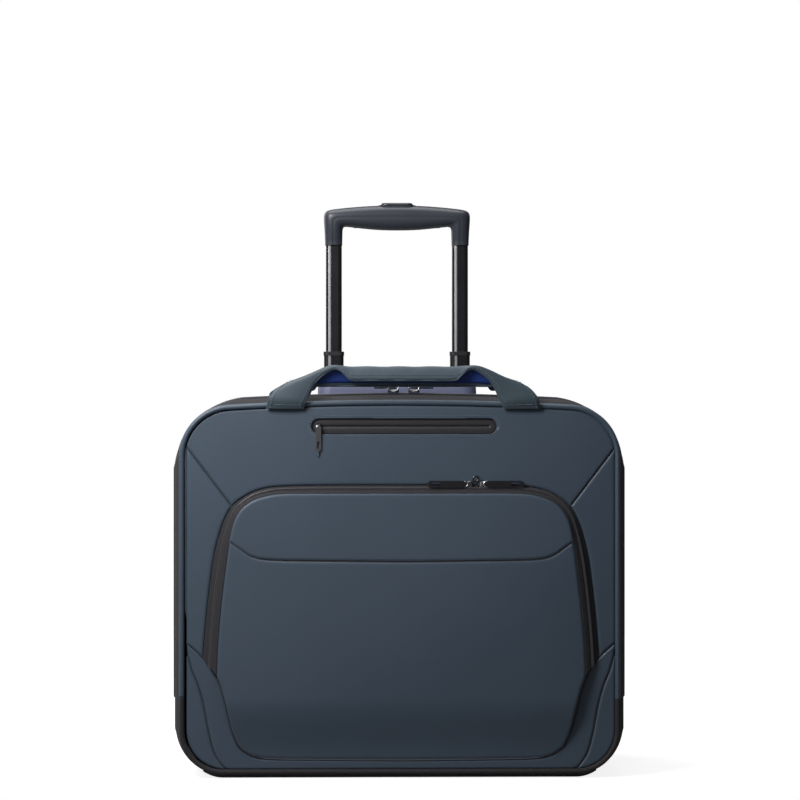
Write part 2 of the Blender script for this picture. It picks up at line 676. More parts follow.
def sweep(name, path, up, profile, material, body, closed_profile=True):
    """Profile of (across, out) offsets carried along a path, with its ends closed by fans."""
    _, across, out = frame_along(path, up)
    profile = np.asarray(profile, dtype=float)
    grid = (path[:, None] + across[:, None] * profile[None, :, :1] + out[:, None] * profile[None, :, 1:])
    if not closed_profile:
        return grid_piece(name, grid, material, body, toward=np.asarray(up).reshape(-1, 3).mean(axis=0))
    rows, columns = grid.shape[:2]
    points = np.vstack([grid.reshape(-1, 3), grid[0].mean(axis=0), grid[-1].mean(axis=0)])
    side = grid_faces(rows, columns, wrap_columns=True)
    normals, centres = quad_normals(points, side)
    inward = (normals * (centres - np.repeat(path[:-1], columns, axis=0))).sum() < 0
    first = np.arange(columns)
    second = np.roll(first, -1)
    hub, far = rows * columns, rows * columns + 1
    start_fan = np.stack([np.full(columns, hub), first, second], axis=1)
    end_fan = np.stack([np.full(columns, far), second, first], axis=1) + [0, *[(rows - 1) * columns] * 2]
    if inward:
        side, start_fan, end_fan = side[:, ::-1], start_fan[:, ::-1], end_fan[:, ::-1]
    mesh = bpy.data.meshes.new(name)
    mesh.from_pydata(points.tolist(), [], side.tolist() + start_fan.tolist() + end_fan.tolist())
    mesh.polygons.foreach_set("use_smooth", np.full(len(mesh.polygons), True))
    run = np.concatenate([np.repeat(arc_length(path), columns), [0, arc_length(path)[-1]]])
    girth = np.concatenate([np.tile(arc_length(profile), rows), [0, 0]])
    index = np.zeros(len(mesh.loops), dtype=np.int32)
    mesh.loops.foreach_get("vertex_index", index)
    layer = mesh.uv_layers.new(name="surface")
    layer.data.foreach_set("uv", np.stack([girth, run], axis=1)[index].astype(np.float32).ravel())
    mesh.update()
    mesh.materials.append(material)
    piece = bpy.data.objects.new(name, mesh)
    bpy.context.collection.objects.link(piece)
    if body:
        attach(piece, body)
    return piece


def circle(radius, count=12, squash=1.0):
    """Round section of a bead or piping."""
    turn = np.linspace(0, 2 * math.pi, count, endpoint=False)
    return np.stack([radius * np.cos(turn), radius * squash * np.sin(turn)], axis=1)


TOOTH = np.array([(-1, -1, 0), (1, -1, 0), (1, 1, 0), (-1, 1, 0),
                  (-0.6, -0.75, 1), (0.6, -0.75, 1), (0.6, 0.75, 1), (-0.6, 0.75, 1)])
TOOTH_FACES = np.array([(0, 3, 2, 1), (4, 5, 6, 7), (0, 1, 5, 4), (1, 2, 6, 5), (2, 3, 7, 6), (3, 0, 4, 7)])


def beads(name, path, up, pitch, size, material, body, shift=0.0, side=0.0):
    """Row of small tapered blocks along a path: stitches or zip teeth.

    Each block is (along, across, height) in size, and sits every pitch, moved along by shift of a pitch
    and sideways by side.
    """
    length = arc_length(path)
    spots = np.arange(pitch * (0.5 + shift), length[-1] - pitch * 0.4, pitch)
    along, across, out = frame_along(path, up)
    pick = [np.stack([np.interp(spots, length, a[:, k]) for k in range(3)], axis=1)
            for a in (path, along, across, out)]
    centre, along, across, out = pick
    centre = centre + across * side
    half = np.array([size[0] / 2, size[1] / 2, size[2]])
    block = TOOTH * half
    points = (centre[:, None] + along[:, None] * block[None, :, :1] + across[:, None] * block[None, :, 1:2]
              + out[:, None] * block[None, :, 2:])
    faces = TOOTH_FACES[None] + 8 * np.arange(len(spots))[:, None, None]
    normals, centres = quad_normals(points.reshape(-1, 3), faces[0])
    if (normals * (centres - points[0].mean(axis=0))).sum() < 0:
        faces = faces[..., ::-1]
    return new_piece(name, points.reshape(-1, 3), faces.reshape(-1, 4), material, body, smooth=False)


def stitches(name, path, up, material, body, pitch=3.3 * MM, width=0.55 * MM):
    """Lockstitch seam: short raised threads with small gaps."""
    return beads(name, path, up, pitch, (pitch * 0.72, width, 0.28 * MM), material, body)


def carve(piece, cutter_points, cutter_faces):
    """Takes a closed cutter out of a piece and keeps the result as its mesh."""
    mesh = bpy.data.meshes.new("cutter")
    mesh.from_pydata(np.asarray(cutter_points).tolist(), [], cutter_faces)
    cutter = bpy.data.objects.new("cutter", mesh)
    bpy.context.collection.objects.link(cutter)
    cut = piece.modifiers.new("cut", "BOOLEAN")
    cut.operation = "DIFFERENCE"
    cut.solver = "EXACT"
    cut.object = cutter
    graph = bpy.context.evaluated_depsgraph_get()
    result = bpy.data.meshes.new_from_object(piece.evaluated_get(graph))
    piece.modifiers.clear()
    piece.data = result
    bpy.data.objects.remove(cutter)


def prism(line, low_y, high_y):
    """Closed prism over an outline in XZ, between two depths."""
    count = len(line)
    points = [(x, y, z) for y in (low_y, high_y) for x, z in line]
    faces = [tuple(range(count)), tuple(range(count, 2 * count))[::-1]]
    faces += [(k, count + k, count + (k + 1) % count, (k + 1) % count) for k in range(count)]
    return points, faces


# ---------------------------------------------------------------- front lid
FRONT = (0, -1, 0)
top_foot = diagonal[0]
top_corner = diagonal[-1]
arch_top_half, arch_side = cut_at(arch_outer, top_foot)
arch_top = join(left_of(arch_top_half)[::-1], arch_top_half)

upper_panel = sewn_panel(
    "upper_panel", arch_top, piped(left_of(diagonal)[-1], top_corner), left_of(diagonal), diagonal,
    (150, 46), lid_depth, "lid", slate)

slot_low, slot_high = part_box("top_pocket_zip")
slot_mid = np.array([(slot_low[0] + slot_high[0]) / 2, (slot_low[2] + slot_high[2]) / 2])
slot_r = (slot_high[2] - slot_low[2]) / 2
slot_reach = (slot_high[0] - slot_low[0]) / 2 - slot_r


def slot_line(grow, count=24):
    """Outline of the top pocket's window, grown by an amount: two half circles and two straights."""
    turn = np.linspace(-math.pi / 2, math.pi / 2, count)
    cap = np.stack([slot_reach + (slot_r + grow) * np.cos(turn), (slot_r + grow) * np.sin(turn)], axis=1)
    return slot_mid + np.vstack([cap, -cap])


carve(upper_panel, *prism(slot_line(0.9 * MM), panel_y - 20 * MM, panel_y + 20 * MM))

for side, turn in (("right", lambda line: line), ("left", left_of)):
    sewn_panel(f"side_panel_{side}", turn(arch_side)[::-1], turn(piped(diagonal[-1], wave_side[0]))[::-1],
               turn(wave_side)[::-1], turn(diagonal), (60, 16), lid_depth, "lid", slate)
    corner_run = piped(sub_seam[0], sub_seam[-1])
    sewn_panel(f"corner_panel_{side}", turn(sub_seam), turn(corner_run),
               turn(np.stack([sub_seam[0], corner_run[0]])), turn(np.stack([sub_seam[-1], corner_run[-1]])),
               (56, 10), lid_depth, "lid", slate, lift=-0.3 * MM)
wave_half = join(wave_side, wave_strip, wave_pocket, wave_bottom)
wave = join(left_of(wave_half), wave_half[::-1])
floor_half = piped(sub_seam[-1], np.array([OFF_CENTRE, base_z]))
base_half = join(sub_seam, floor_half)
base_run = join(left_of(base_half), base_half[::-1])
sewn_panel("base_band", base_run, wave, np.stack([base_run[0], wave[0]]), np.stack([base_run[-1], wave[-1]]),
           (190, 12), lid_depth, "lid", slate)


# ---------------------------------------------------------------- piping, gusset and zip of the lid
def outline_run(out, y, rows=slice(None), share=0):
    """Path round the case at a depth, moved out from the outline, and its outward directions."""
    line = (1 - share) * wide_line + share * front_line + out * wide_normal
    path = np.stack([line[:, 0], np.full(len(line), y), line[:, 1]], axis=1)[rows]
    up = np.stack([wide_normal[:, 0], np.zeros(len(line)), wide_normal[:, 1]], axis=1)[rows]
    return path, up


def closed_ring(name, profile, material, body, wrap_columns=False, toward=None):
    """Band right round the case from a profile of (share, out, y)."""
    grid = ring(profile)[:-1]
    return grid_piece(name, grid, material, body, True, wrap_columns, toward)


ZIPPED = slice(0, ZIP_RUN + 1)
UNZIPPED = slice(ZIP_RUN, None)
seam_y = (mouth_y + lid_back_y) / 2

cord = ring(round_profile(1, -2.1 * MM, panel_y - 0.9 * MM, 2.6 * MM))
grid_piece("front_piping_cord", cord[ZIPPED], slate_piping, "lid", wrap_columns=True)
grid_piece("front_piping_low_cord", cord[ZIP_RUN - 1:], tape_edge, "lid", wrap_columns=True)
bumper_x = np.linspace(-190 * MM, 190 * MM, 120)  # rubbed lower edge, its ends rising into the piping
bend = np.maximum(np.abs(bumper_x) - front_half_w + R_LOW, 0)
bumper_z = 2.9 * MM + 1.4 * (R_LOW - np.sqrt(R_LOW**2 - bend**2))
sweep("front_low_bumper", np.stack([bumper_x, 0 * bumper_x + panel_y + 2.5 * MM, bumper_z], axis=1),
      FRONT, circle(2.2 * MM, 12), tape_edge, "lid")
closed_ring("front_piping_welt", [(1, 0.4 * MM, panel_y + 3.4 * MM), (1, 0.75 * MM, panel_y + 1.8 * MM),
                                  (1, 0.3 * MM, panel_y + 0.6 * MM), (1, -1.5 * MM, panel_y + 0.4 * MM)],
            slate_piping, "lid")
lid_share = np.linspace(0, 1, 12)
lid_gusset = [(0, -0.1 * MM, lid_back_y), (0, 0, lid_back_y - 0.4 * MM), (0, 0, lid_back_y - tape_w)]
lid_gusset += [(t, 1.5 * MM * math.sin(math.pi * t) ** 0.8, lid_back_y - tape_w - 0.3 * MM
                + t * (panel_y - lid_back_y + tape_w + 2.5 * MM)) for t in lid_share]
thicken(closed_ring("lid_gusset", lid_gusset, tape_brown, "lid"), PANEL_T)


def half_zip(name, body, edge_y, seam, rows):
    """One half of the main zip: tape with a turned outer edge, its stitching, bead and teeth."""
    inward = np.sign(seam - edge_y)
    tape = [(0, 0.1 * MM, edge_y - 0.1 * MM * inward), (0, 0.9 * MM, edge_y + 0.4 * MM * inward),
            (0, 1.15 * MM, edge_y + 2.2 * MM * inward), (0, 1.0 * MM, seam - 2.2 * MM * inward),
            (0, 1.1 * MM, seam - 0.9 * MM * inward), (0, 0.2 * MM, seam - 0.6 * MM * inward)]
    grid = ring(tape)[rows]
    thicken(grid_piece(f"{name}_tape", grid, tape_brown, body), 0.6 * MM)
    path, up = outline_run(1.15 * MM, edge_y + 1.6 * MM * inward, rows)
    stitches(f"{name}_stitches", path, up, thread_slate, body)
    path, up = outline_run(1.3 * MM, seam - 1.5 * MM * inward, rows)
    sweep(f"{name}_coil", path, up, circle(0.8 * MM, 8), coil_plastic, body)
    path, up = outline_run(1.2 * MM, seam - 0.45 * MM * inward, rows)
    beads(f"{name}_teeth", path, up, 1.5 * MM, (0.85 * MM, 2.0 * MM, 0.85 * MM), coil_plastic, body,
          shift=0.25 * inward)


half_zip("main_zip_lid", "lid", lid_back_y - tape_w, seam_y, ZIPPED)
half_zip("main_zip_case", "case", mouth_y + tape_w, seam_y, ZIPPED)

# ---------------------------------------------------------------- top pocket window
SLOT_Y = panel_y - 0.4 * MM
window_rows = [(-6.72, 0.9), (-6.3, 0.1), (-4.6, -0.25), (-2.2, -0.2), (-0.4, 0.0), (3.0, 0.5)]
window = np.stack([np.stack([slot_line(grow * MM)[:, 0], np.full(48, SLOT_Y + sink * MM),
                             slot_line(grow * MM)[:, 1]], axis=1) for grow, sink in window_rows], axis=1)
thicken(grid_piece("top_pocket_tape", window, coated_tape, "lid", wrap_rows=True, toward=FRONT), 0.5 * MM)


def looped(line):
    """Closed line that returns to its first point."""
    return np.vstack([line, line[:1]])


lip = on_surface(resample(looped(slot_line(1.5 * MM)), 260), lid_depth, -0.7 * MM)
sweep("top_pocket_lip", lip, FRONT, circle(0.75 * MM, 8), slate_piping, "lid")
slot_seam = on_surface(resample(looped(slot_line(3.6 * MM)), 300), lid_depth, 0.05 * MM)
stitches("top_pocket_stitches", slot_seam, FRONT, thread_light, "lid", pitch=2.8 * MM, width=0.45 * MM)

# ---------------------------------------------------------------- front pocket
pocket_arch_side = cut_at(arch_inner, half_seam(YOKE)[-1])
yoke_end = pocket_arch_side[1][0]
corner_inner = cut_at(pocket_arch_side[0], np.array([155.5, 260]) * MM + (OFF_CENTRE, 0))
yoke_line = join(yoke_seam[:-1], yoke_end[None])
full_yoke = join(left_of(yoke_line)[::-1], yoke_line)
pocket_side = join(wave_pocket[::-1], pocket_arch_side[1][::-1])
bottom_line = join(left_of(wave_bottom), wave_bottom[::-1])
sewn_panel("pocket_front", bottom_line, full_yoke, left_of(pocket_side), pocket_side, (110, 84), pocket_depth,
           "pocket", slate)
arch_crest = join(left_of(corner_inner[0])[::-1], corner_inner[0])
yoke_side = corner_inner[1][::-1]
sewn_panel("pocket_yoke_panel", full_yoke, arch_crest, left_of(yoke_side), yoke_side, (120, 36), pocket_depth,
           "pocket", slate, lift=0.7 * MM, roll=1.3 * MM)
yoke_stitch = full_yoke + (0, 2.6 * MM)
stitches("yoke_stitches", on_surface(yoke_stitch[6:-6], pocket_depth, 0.75 * MM), FRONT, thread_slate, "pocket")
stitches("pocket_bottom_stitches", on_surface(bottom_line + (0, 3.2 * MM), pocket_depth, 0.05 * MM), FRONT,
         thread_slate, "pocket")


def whole(right):
    """Line over both halves, from the far left to the far right."""
    return join(left_of(right)[::-1], right)


zip_out, zip_in = whole(arch_outer), whole(arch_inner)
zip_mid = 0.52 * zip_out + 0.48 * zip_in
out_y = lid_depth(zip_out[:, 0], zip_out[:, 1]) + 1.0 * MM
in_y = pocket_depth(zip_in[:, 0], zip_in[:, 1]) + 1.1 * MM
mid_y = 0.5 * (out_y + in_y) - 0.5 * MM


def between(first, first_y, last, last_y, shares, swell):
    """Strip ruled between two lines in space, swollen towards the front across its width."""
    t = np.asarray(shares)[None, :, None]
    flat = (1 - t) * first[:, None] + t * last[:, None]
    y = (1 - t[..., 0]) * first_y[:, None] + t[..., 0] * last_y[:, None]
    y -= swell * np.sin(math.pi * t[..., 0])
    return np.stack([flat[..., 0], y, flat[..., 1]], axis=-1)


strip = np.linspace(0, 1, 6)
thicken(grid_piece("pocket_zip_lid_tape", between(zip_out, out_y, zip_mid, mid_y, strip * 0.86, 0.3 * MM),
                   tape_brown, "lid", toward=FRONT), 0.6 * MM)
thicken(grid_piece("pocket_zip_pocket_tape", between(zip_in, in_y, zip_mid, mid_y, strip * 0.86, 0.3 * MM),
                   tape_brown, "pocket", toward=FRONT), 0.6 * MM)
chain_path = np.stack([zip_mid[:, 0], mid_y - 0.1 * MM, zip_mid[:, 1]], axis=1)
chain_side = np.stack([zip_out[:, 0] - zip_in[:, 0], np.zeros(len(zip_out)), zip_out[:, 1] - zip_in[:, 1]],
                      axis=1)
chain_side /= np.linalg.norm(chain_side, axis=1)[:, None]
for body, shift in (("lid", 1), ("pocket", -1)):
    rail = chain_path + chain_side * 1.15 * MM * shift
    sweep(f"pocket_zip_{body}_coil", resample(rail, 420), FRONT, circle(0.75 * MM, 8), coil_plastic, body)
    beads(f"pocket_zip_{body}_teeth", chain_path + chain_side * 0.35 * MM * shift, FRONT, 1.5 * MM,
          (0.85 * MM, 1.9 * MM, 0.8 * MM), coil_plastic, body, shift=0.25 * shift)
inner_edge = on_surface(zip_in, pocket_depth, 0)
pocket_lip = np.stack([inner_edge + (0, 1.6 * MM, 0), inner_edge * (0.992, 1, 0.995) + (0, 6 * MM, 0),
                       np.stack([inner_edge[:, 0] * 0.99, np.full(len(inner_edge), panel_y - 0.8 * MM),
                                 inner_edge[:, 2] * 0.992], axis=1)], axis=1)
thicken(grid_piece("pocket_inner_wall", pocket_lip, grey_lining, "pocket", toward=None), 0.8 * MM)
sewn_panel("pocket_back_lining", bottom_line + (0, 4 * MM), full_yoke, left_of(pocket_side) * (0.98, 1),
           pocket_side * (0.98, 1), (30, 20), lambda x, z: pocket_depth(x, z) + 2.2 * MM, "pocket",
           grey_lining, roll=0.3 * MM, toward=(0, 1, 0))

# ---------------------------------------------------------------- seams stitched on the lid
for side, turn in (("right", lambda line: line), ("left", left_of)):
    stitches(f"diagonal_stitches_{side}", on_surface(turn(diagonal)[4:-4] + (0, 3.4 * MM), lid_depth, 0),
             FRONT, thread_slate, "lid")
    wave_edge = turn(join(wave_side, wave_strip, wave_pocket))
    stitches(f"wave_stitches_{side}", on_surface(wave_edge[6:] - (0, 3.6 * MM), lid_depth, 0), FRONT,
             thread_slate, "lid")

for side, turn in (("right", lambda line: line), ("left", left_of)):
    for name, line in (("diagonal", diagonal), ("wave", join(wave_side, wave_strip)), ("sub", sub_seam)):
        sweep(f"{name}_seam_core_{side}", on_surface(turn(line), lid_depth, -1.5 * MM), FRONT,
              circle(0.6 * MM, 6), tape_edge, "lid")
low_seam = join(left_of(join(wave_pocket, wave_bottom)), join(wave_pocket, wave_bottom)[::-1])
sweep("pocket_seam_core", on_surface(resample(low_seam, 300), pocket_depth, -1.6 * MM), FRONT,
      circle(0.7 * MM, 6), tape_edge, "lid")
sweep("yoke_seam_core", on_surface(full_yoke, pocket_depth, -0.5 * MM), FRONT, circle(0.5 * MM, 6), tape_edge,
      "pocket")

# ---------------------------------------------------------------- case: gusset, binding, piping, back
case_gusset = [(0, -0.2 * MM, mouth_y), (0, 0, mouth_y + 0.4 * MM), (0, 0, mouth_y + tape_w)]
case_gusset += [(0, 0.9 * MM * math.sin(math.pi * t) ** 0.7, mouth_y + tape_w + t * 24 * MM)
                for t in np.linspace(0.04, 0.94, 8)]
case_gusset += [(0, -0.9 * MM, mouth_y + tape_w + 24 * MM)]
seam_back = mouth_y + tape_w + 24 * MM
case_gusset += [(0, 1.3 * MM * math.sin(math.pi * t) ** 0.5, seam_back + t * (back_y - 4 * MM - seam_back))
                for t in np.linspace(0.006, 0.994, 26)]
gusset = thicken(closed_ring("case_gusset", case_gusset, slate, "case"), PANEL_T)
housing_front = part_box("wheel_housing_right")[0][1]
for turn in (1, -1):
    reach = np.array([(152.9, -5), (183.1, -5), (183.1, 70.1), (152.9, 70.1)]) * MM * (turn, 1)
    carve(gusset, *prism(reach[::turn], housing_front + 0.1 * MM, 0.2))
path, up = outline_run(0.75 * MM, seam_back - 2.4 * MM)
stitches("gusset_stitches", path, up, thread_slate, "case")

binding = [(0, 0.1 * MM, lid_back_y + 0.1 * MM), (0, 1.0 * MM, lid_back_y + 0.7 * MM),
           (0, 1.25 * MM, lid_back_y + 4 * MM), (0, 1.25 * MM, mouth_y + 9.5 * MM),
           (0, 0.9 * MM, mouth_y + 13.4 * MM), (0, 0.05 * MM, mouth_y + 14 * MM)]
thicken(grid_piece("bottom_edge_binding", ring(binding)[UNZIPPED], tape_edge, "case"), 0.6 * MM)
path, up = outline_run(1.25 * MM, mouth_y + 11.6 * MM, UNZIPPED)
stitches("binding_stitches", path, up, thread_slate, "case")

TURNED = END_COUNT + CORNER_COUNT + TOP_COUNT // 2  # brings the start to the middle of the bottom
opened = np.roll(wide_line[:-1], TURNED, axis=0)
opened_up = np.roll(wide_normal[:-1], TURNED, axis=0)
at_wheel = (np.abs(opened[:, 0]) < 184.5 * MM) & (opened[:, 1] < 60 * MM)
outside = np.flatnonzero(~at_wheel)
beneath = np.flatnonzero(at_wheel & (np.abs(opened[:, 0]) < 151.5 * MM))
beneath = beneath[np.argsort(opened[beneath, 0])]
for name, rows in (("rear_piping_arch", np.arange(outside.min(), outside.max() + 1)),
                   ("rear_piping_base", beneath)):
    path = np.stack([opened[rows, 0], np.full(len(rows), back_y - 1.6 * MM), opened[rows, 1]], axis=1)
    up = np.stack([opened_up[rows, 0], np.zeros(len(rows)), opened_up[rows, 1]], axis=1)
    sweep(name, path - up * 1.2 * MM, up, circle(2.4 * MM), slate_piping, "case")

back_line = np.roll(wide_line - 3.4 * MM * wide_normal, END_COUNT + CORNER_COUNT + TOP_COUNT // 2, axis=0)


def back_stretch(start, end):
    """Stretch of the back's piped edge between two places in millimetres."""
    first = np.argmin(np.linalg.norm(back_line - np.array(start) * MM, axis=1))
    last = np.argmin(np.linalg.norm(back_line - np.array(end) * MM, axis=1))
    return back_line[first: last + 1] if first <= last else back_line[last: first + 1][::-1]


def ruled(start, end, count=40):
    """Straight line between two places."""
    share = np.linspace(0, 1, count)[:, None]
    return np.asarray(start) * (1 - share) + np.asarray(end) * share


GUARD_TOP, FIELD = 92, 94
BACK = (0, 1, 0)
crest = back_stretch((FIELD, 370), (-FIELD, 370))[::-1]
side_edge = back_stretch((215, GUARD_TOP), (197, 347))
side_crest = back_stretch((197, 347), (FIELD, 370))
sewn_panel("back_centre", ruled((-FIELD * MM, GUARD_TOP * MM), (FIELD * MM, GUARD_TOP * MM)), crest,
           ruled((-FIELD * MM, GUARD_TOP * MM), crest[0]), ruled((FIELD * MM, GUARD_TOP * MM), crest[-1]),
           (80, 70), back_depth, "case", slate, toward=BACK)
for side, turn in (("right", np.array([1, 1])), ("left", np.array([-1, 1]))):
    sewn_panel(f"back_side_{side}", ruled((FIELD * MM, GUARD_TOP * MM), side_edge[0]) * turn,
               side_crest[::-1] * turn, ruled((FIELD * MM, GUARD_TOP * MM), side_crest[-1]) * turn,
               side_edge * turn, (40, 70), back_depth, "case", slate, toward=BACK)
    path = on_surface(ruled((FIELD * MM, GUARD_TOP * MM), side_crest[-1], 120)[3:-3] * turn
                      + (3.4 * MM * turn[0], 0), back_depth, 0)
    stitches(f"back_stitches_{side}", path, BACK, thread_slate, "case")
guard_side = back_stretch((205, 18), (215, GUARD_TOP))
guard_low = np.vstack([back_line[np.argmin(np.linalg.norm(back_line - (-0.205, 0.018), axis=1)):],
                       back_line[:np.argmin(np.linalg.norm(back_line - (0.205, 0.018), axis=1)) + 1]])
guard = sewn_panel("back_guard", guard_low, ruled(guard_side[-1] * (-1, 1), guard_side[-1]),
                   guard_side * (-1, 1), guard_side, (120, 26), back_depth, "case", guard_fabric,
                   lift=-0.4 * MM, toward=BACK)
for turn in (1, -1):
    step = np.array([(152.9, -5), (183.1, -5), (183.1, 50.9), (187.1, 50.9), (187.1, 73.1), (148.9, 73.1),
                     (148.9, 50.9), (152.9, 50.9)]) * MM * (turn, 1)
    carve(guard, *prism(step[::turn], 0.07, 0.12))
path = on_surface(ruled((-0.208, (GUARD_TOP + 3.2) * MM), (0.208, (GUARD_TOP + 3.2) * MM), 160), back_depth, 0)
stitches("guard_stitches", path, BACK, thread_slate, "case")

# ---------------------------------------------------------------- fenders over the wheels
wheel_low, wheel_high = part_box("tyre_right")
axle = np.array([(wheel_low[0] + wheel_high[0]) / 2, (wheel_low[1] + wheel_high[1]) / 2,
                 (wheel_low[2] + wheel_high[2]) / 2])
wheel_r = (wheel_high[2] - wheel_low[2]) / 2
FENDER = [(-16.5, 3.0), (-18.6, 4.2), (-17.8, 6.2), (-14, 7.4), (0, 8.2), (14, 7.4), (17.8, 6.2), (18.6, 4.2),
          (16.5, 3.0)]
for side, turn in (("right", 1), ("left", -1)):
    swing = np.radians(np.linspace(24, 74, 40))
    fade = np.clip((swing - swing[0]) / 0.12, 0, 1) ** 0.5
    radius = wheel_r + (2.6 + (np.array(FENDER)[None, :, 1] - 2.6) * (0.35 + 0.65 * fade[:, None])) * MM
    fender = np.stack([turn * axle[0] + np.broadcast_to(np.array(FENDER)[None, :, 0] * MM, radius.shape),
                       axle[1] + radius * np.cos(swing)[:, None] * 0.985,
                       axle[2] + radius * np.sin(swing)[:, None]], axis=-1)
    thicken(grid_piece(f"wheel_fender_{side}", fender, black_plastic, "case", toward=(0, 0.6, 0.8)), 1.8 * MM)

# ---------------------------------------------------------------- padded hood where the trolley leaves
bezel_low, bezel_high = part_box("trolley_bezel")
hood_low, hood_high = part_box("trolley_hood")


def round_box(half_x, half_y, radius, y_middle, count=24):
    """Rounded rectangle seen from above, from its right side round by the back."""
    quarter = np.linspace(0, math.pi / 2, count)
    corner = np.stack([half_x - radius + radius * np.cos(quarter), half_y - radius + radius * np.sin(quarter)],
                      axis=1)
    right = np.vstack([corner, (corner * (-1, 1))[::-1]])
    loop = looped(np.vstack([right, right[::-1] * (1, -1)]))
    return resample(loop, 241)[:-1] + (0, y_middle)


trolley_y = (bezel_low[1] + bezel_high[1]) / 2
hood_out = round_box(hood_high[0] + 0.6 * MM, (hood_high[1] - hood_low[1]) / 2 + 0.6 * MM, 14 * MM, trolley_y)
hood_in = round_box(bezel_high[0] - 0.4 * MM, (bezel_high[1] - bezel_low[1]) / 2 - 0.4 * MM, 9.6 * MM,
                    trolley_y)
hood_profile = [(-0.1, -13.5), (0.0, -10.5), (0.02, -7), (0.07, -4), (0.2, -1.2), (0.42, 0.5), (0.66, 0.7),
                (0.86, -0.1), (0.97, -1.3), (1.0, -2.6)]
hood_grid = np.stack([np.concatenate([(1 - w) * hood_out + w * hood_in,
                                      np.full((len(hood_out), 1), hood_high[2] + z * MM)], axis=1)
                      for w, z in hood_profile], axis=1)
hood_grid[..., 2] += 0.35 * MM * np.sin(hood_grid[..., 0] * 90) * np.sin(hood_grid[..., 1] * 130)
thicken(grid_piece("trolley_hood_pad", hood_grid, hood_fabric, "case", wrap_rows=True,
                   toward=(0, 0, 1)), 1.2 * MM)
hood_seam = 0.9 * hood_out + 0.1 * hood_in
hood_path = np.concatenate([hood_seam, np.full((len(hood_seam), 1), hood_high[2] - 2.4 * MM)], axis=1)
stitches("hood_stitches", looped(hood_path), (0, 0, 1), thread_slate, "case", width=0.5 * MM)

# ---------------------------------------------------------------- inside: linings, divider, strap
INSET = 4.4 * MM
case_lining = [(0, -2.2 * MM, mouth_y + 0.2 * MM), (0, -INSET, mouth_y + 1.6 * MM),
               (0, -INSET, mouth_y + 24 * MM), (0, -INSET, mouth_y + 70 * MM),
               (0, -INSET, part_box("back_board")[0][1] - 0.6 * MM)]
thicken(closed_ring("case_lining", case_lining, grey_lining, "case"), 0.5 * MM, 1.0)
inner_line = np.roll(wide_line - INSET * wide_normal, TURNED, axis=0)
lid_inner_line = np.roll(front_line - 7.5 * MM * front_normal, TURNED, axis=0)


def four_sides(line, low=18 * MM, high=352 * MM, wide=200 * MM):
    """An outline split at its four corners: bottom, top, left and right."""
    marks = [np.argmin(np.linalg.norm(line - spot, axis=1))
             for spot in ((wide, low), (wide, high), (-wide, high), (-wide, low))]
    a, b, c, d = marks
    bottom = np.vstack([line[d:], line[: a + 1]])
    return bottom, line[b: c + 1][::-1], line[c: d + 1][::-1], line[a: b + 1]


board_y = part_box("back_board")[0][1]
sewn_panel("case_back_lining", *four_sides(inner_line), (60, 50), lambda x, z: board_y - 0.5 * MM + 0 * x,
           "case", grey_lining, roll=0.2 * MM)
lid_lining_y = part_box("lid_lining")[1][1]
sewn_panel("lid_inner_lining", *four_sides(lid_inner_line), (60, 50),
           lambda x, z: lid_lining_y + 0.8 * MM * np.sin(x * 17) * np.sin(z * 15), "lid", grey_lining,
           roll=-0.3 * MM, toward=BACK)
lid_lining = [(0, -2.2 * MM, lid_back_y - 0.2 * MM), (0, -INSET, lid_back_y - 1.6 * MM),
              (0.1, -INSET, lid_back_y - tape_w), (1, -INSET - 0.4 * MM, lid_lining_y - 0.6 * MM)]
thicken(closed_ring("lid_side_lining", lid_lining, grey_lining, "lid"), 0.5 * MM, 1.0)


def pad(name, low, high, left, right, size, middle_y, half, body, material, swell=1.2 * MM):
    """Closed pad between four border lines: two crowned faces that meet at the border.

    Each face stands off the middle by half * sqrt(1 - (1 - d / R)^2) with R three times half, plus a
    swell that is fullest in the middle.
    """
    length = arc_length(low)[-1]
    height = np.linalg.norm(resample(low, 9) - resample(high, 9), axis=1).max()
    u, v = crowded(length, size[0]), crowded(height, size[1])
    flat = coons(low, high, left, right, u, v)
    border = np.vstack([low, right, high[::-1], left[::-1], low[:1]])
    distance = border_distance(flat.reshape(-1, 2), border).reshape(flat.shape[:2])
    turn = np.clip(1 - distance / (3 * half), 0, 1)
    thick = half * np.sqrt(1 - turn**2) + swell * np.sin(math.pi * u)[None] * np.sin(math.pi * v)[:, None]
    rows, columns = flat.shape[:2]
    both = [np.stack([flat[..., 0], middle_y + sign * thick, flat[..., 1]], axis=-1) for sign in (-1, 1)]
    faces = grid_faces(rows, columns)
    front = facing(both[0].reshape(-1, 3), faces, FRONT)
    rear = facing(both[1].reshape(-1, 3), faces, BACK)
    index = np.arange(rows * columns).reshape(rows, columns)
    rim = np.concatenate([index[0], index[1:, -1], index[-1, -2::-1], index[-2:0:-1, 0]])
    other = np.arange(rows * columns) + rows * columns
    other[rim] = rim
    points = np.concatenate([both[0].reshape(-1, 3), both[1].reshape(-1, 3)])
    points[rim, 1] = middle_y
    return new_piece(name, points, np.concatenate([front, other[rear]]), material, body)


